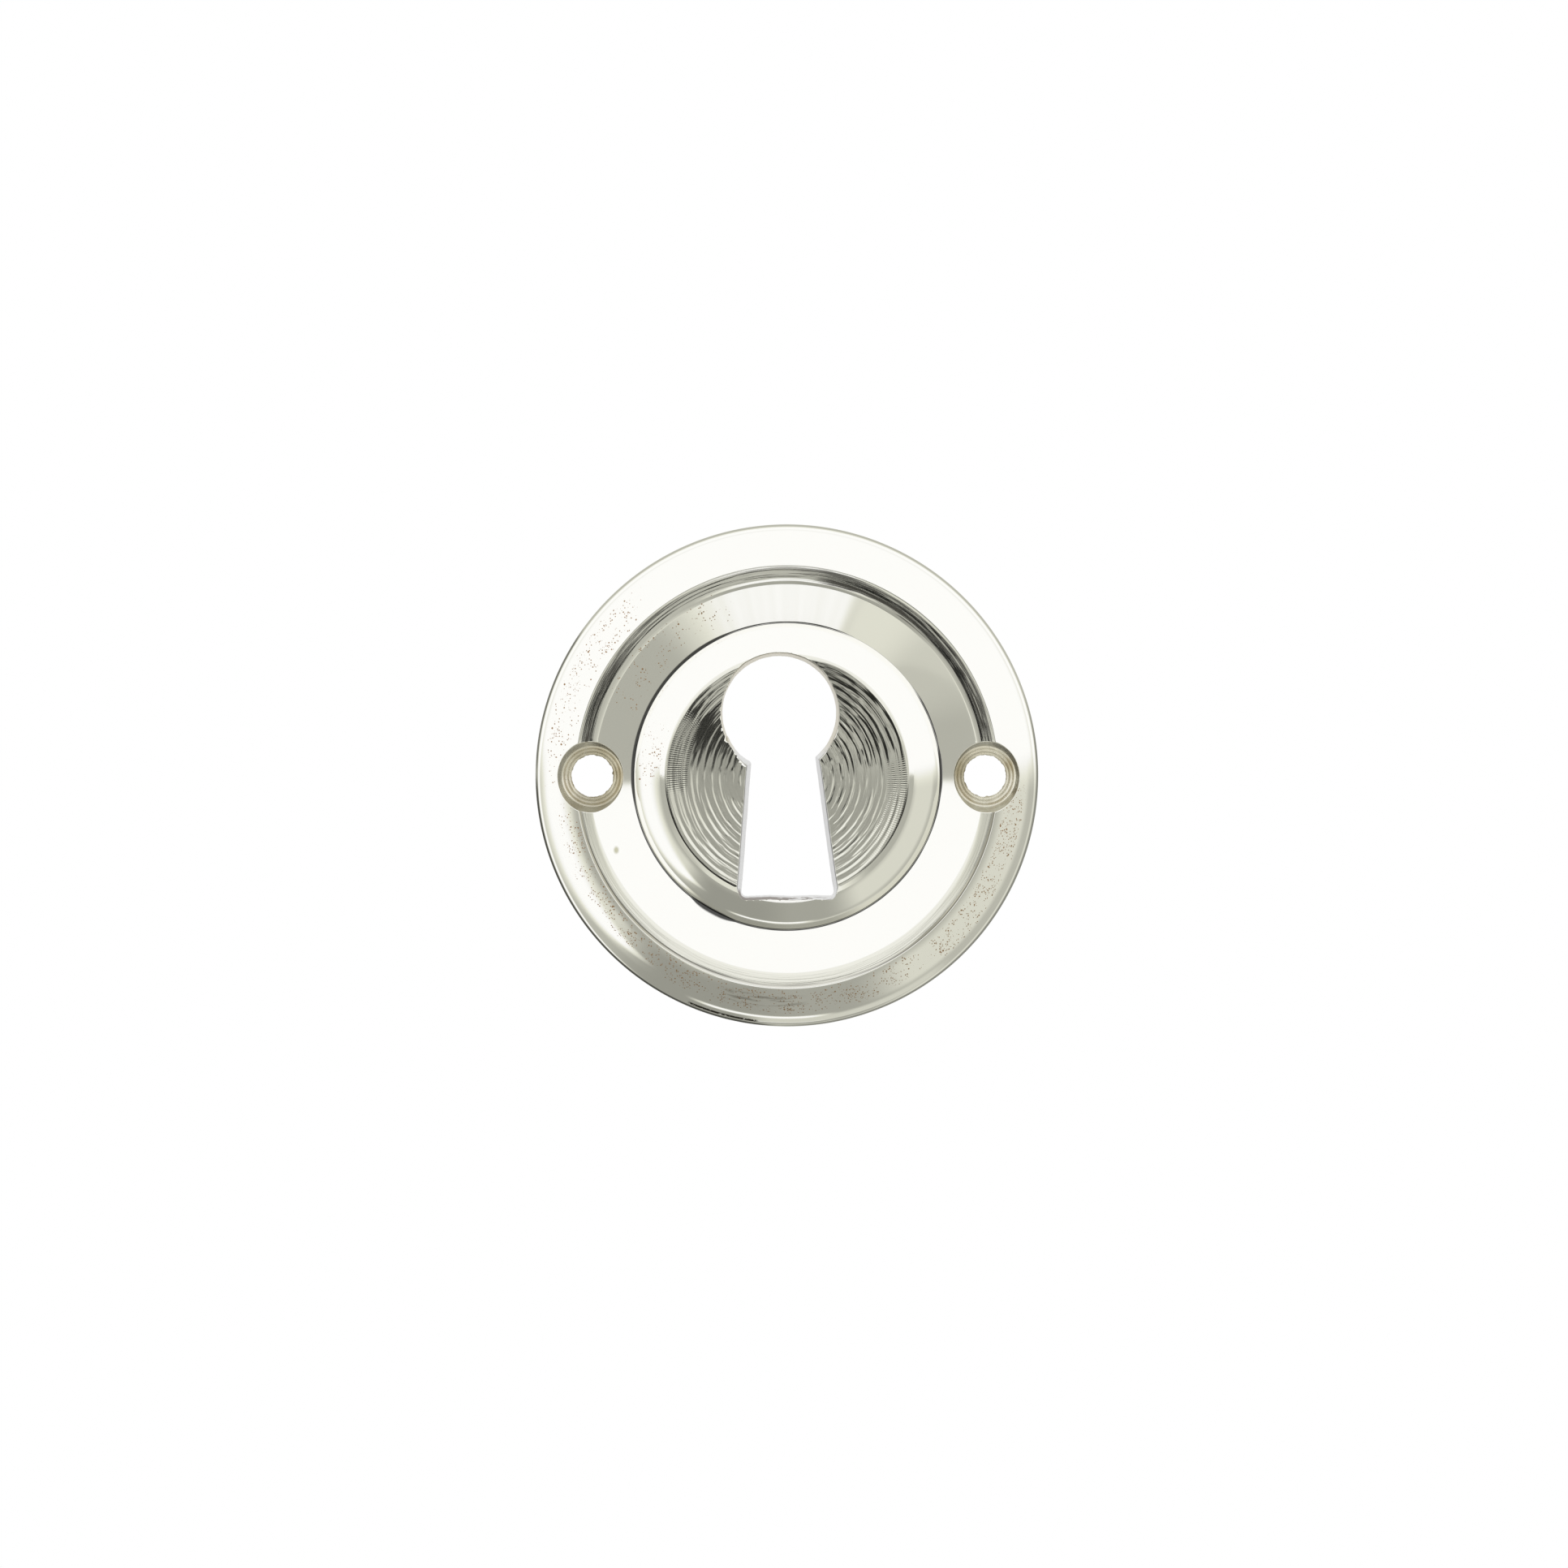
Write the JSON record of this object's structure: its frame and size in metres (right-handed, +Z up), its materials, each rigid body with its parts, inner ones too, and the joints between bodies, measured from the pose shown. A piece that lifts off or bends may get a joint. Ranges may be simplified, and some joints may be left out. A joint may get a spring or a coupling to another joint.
{
  "type": "keyhole escutcheon",
  "caption": "Round metal keyhole escutcheon with raised rings, a large open keyhole and countersunk screw holes on either side.",
  "frame": {"origin": "the turned axis at the back face, which lies flat on the door", "axes": "+Y into the door along the turned axis, so the moulded face looks towards -Y; +Z up, with the bow of the keyhole above its slot; +X to the right as seen from the front"},
  "size_m": [0.042, 0.0029, 0.042],
  "materials": {
    "nickel": "polished"
  },
  "bodies": {
    "root": {"escutcheon_plate": "nickel"}
  },
  "joints": []
}
